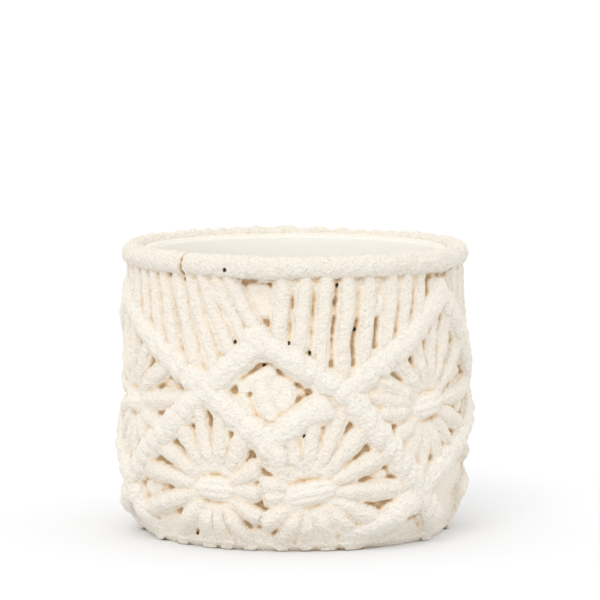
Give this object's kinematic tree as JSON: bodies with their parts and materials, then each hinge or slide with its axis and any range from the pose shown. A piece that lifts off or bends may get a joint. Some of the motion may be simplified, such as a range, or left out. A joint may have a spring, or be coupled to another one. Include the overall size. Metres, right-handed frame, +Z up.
{
  "type": "macrame-covered plant pot",
  "caption": "Free-standing round plant pot whose plain shell carries a stiffened macrame cover: thick rim cord, cord fringe, knotted lattice bands and radiating cord stars.",
  "frame": {"origin": "centre of the flat foot, on the surface that the pot stands on", "axes": "+Z up along the pot's turning axis, -Y towards the side that the picture shows, +X to that side's right"},
  "size_m": [0.1401, 0.1403, 0.112],
  "materials": {
    "pot_plaster": "matt, smooth inside, ivory",
    "rim_plaster": "matt, fine sandy grain, ivory white",
    "fringe_plaster": "matt, fine sandy grain, ivory with tan in the crevices",
    "band_plaster": "matt, knotted relief, ivory white",
    "star_plaster": "matt, fine sandy grain, ivory with tan in the crevices",
    "wrap_plaster": "matt, fine sandy grain, ivory white"
  },
  "bodies": {
    "root": {"pot_shell": "pot_plaster", "rim_cord": "rim_plaster", "band_over_1": "band_plaster", "band_over_2": "band_plaster", "band_over_3": "band_plaster", "band_over_4": "band_plaster", "band_over_5": "band_plaster", "band_under_1a": "band_plaster", "band_under_1b": "band_plaster", "band_under_1c": "band_plaster", "band_under_2a": "band_plaster", "band_under_2b": "band_plaster", "band_under_3a": "band_plaster", "band_under_3b": "band_plaster", "band_under_3c": "band_plaster", "band_under_4a": "band_plaster", "band_under_4b": "band_plaster", "band_under_5a": "band_plaster", "band_under_5b": "band_plaster", "band_under_5c": "band_plaster", "fringe_01": "fringe_plaster", "fringe_02": "fringe_plaster", "fringe_03": "fringe_plaster", "fringe_04": "fringe_plaster", "fringe_05": "fringe_plaster", "fringe_06": "fringe_plaster", "fringe_07": "fringe_plaster", "fringe_08": "fringe_plaster", "fringe_09": "fringe_plaster", "fringe_10": "fringe_plaster", "star_front_left": "star_plaster", "star_front_middle": "star_plaster", "star_right": "star_plaster", "star_left": "star_plaster", "star_back": "star_plaster", "star_back_right_low": "star_plaster", "star_back_right_far": "star_plaster", "star_back_left_low": "star_plaster", "wrap_front_left": "wrap_plaster", "wrap_front_middle": "wrap_plaster", "wrap_right": "wrap_plaster", "wrap_left": "wrap_plaster", "wrap_back": "wrap_plaster", "wrap_back_right_low": "wrap_plaster", "wrap_back_right_far": "wrap_plaster", "wrap_back_left_low": "wrap_plaster", "fold_in_diamond": "wrap_plaster", "loop_in_diamond": "wrap_plaster", "loop_at_foot": "wrap_plaster", "bead_in_fringe": "wrap_plaster"}
  },
  "joints": []
}
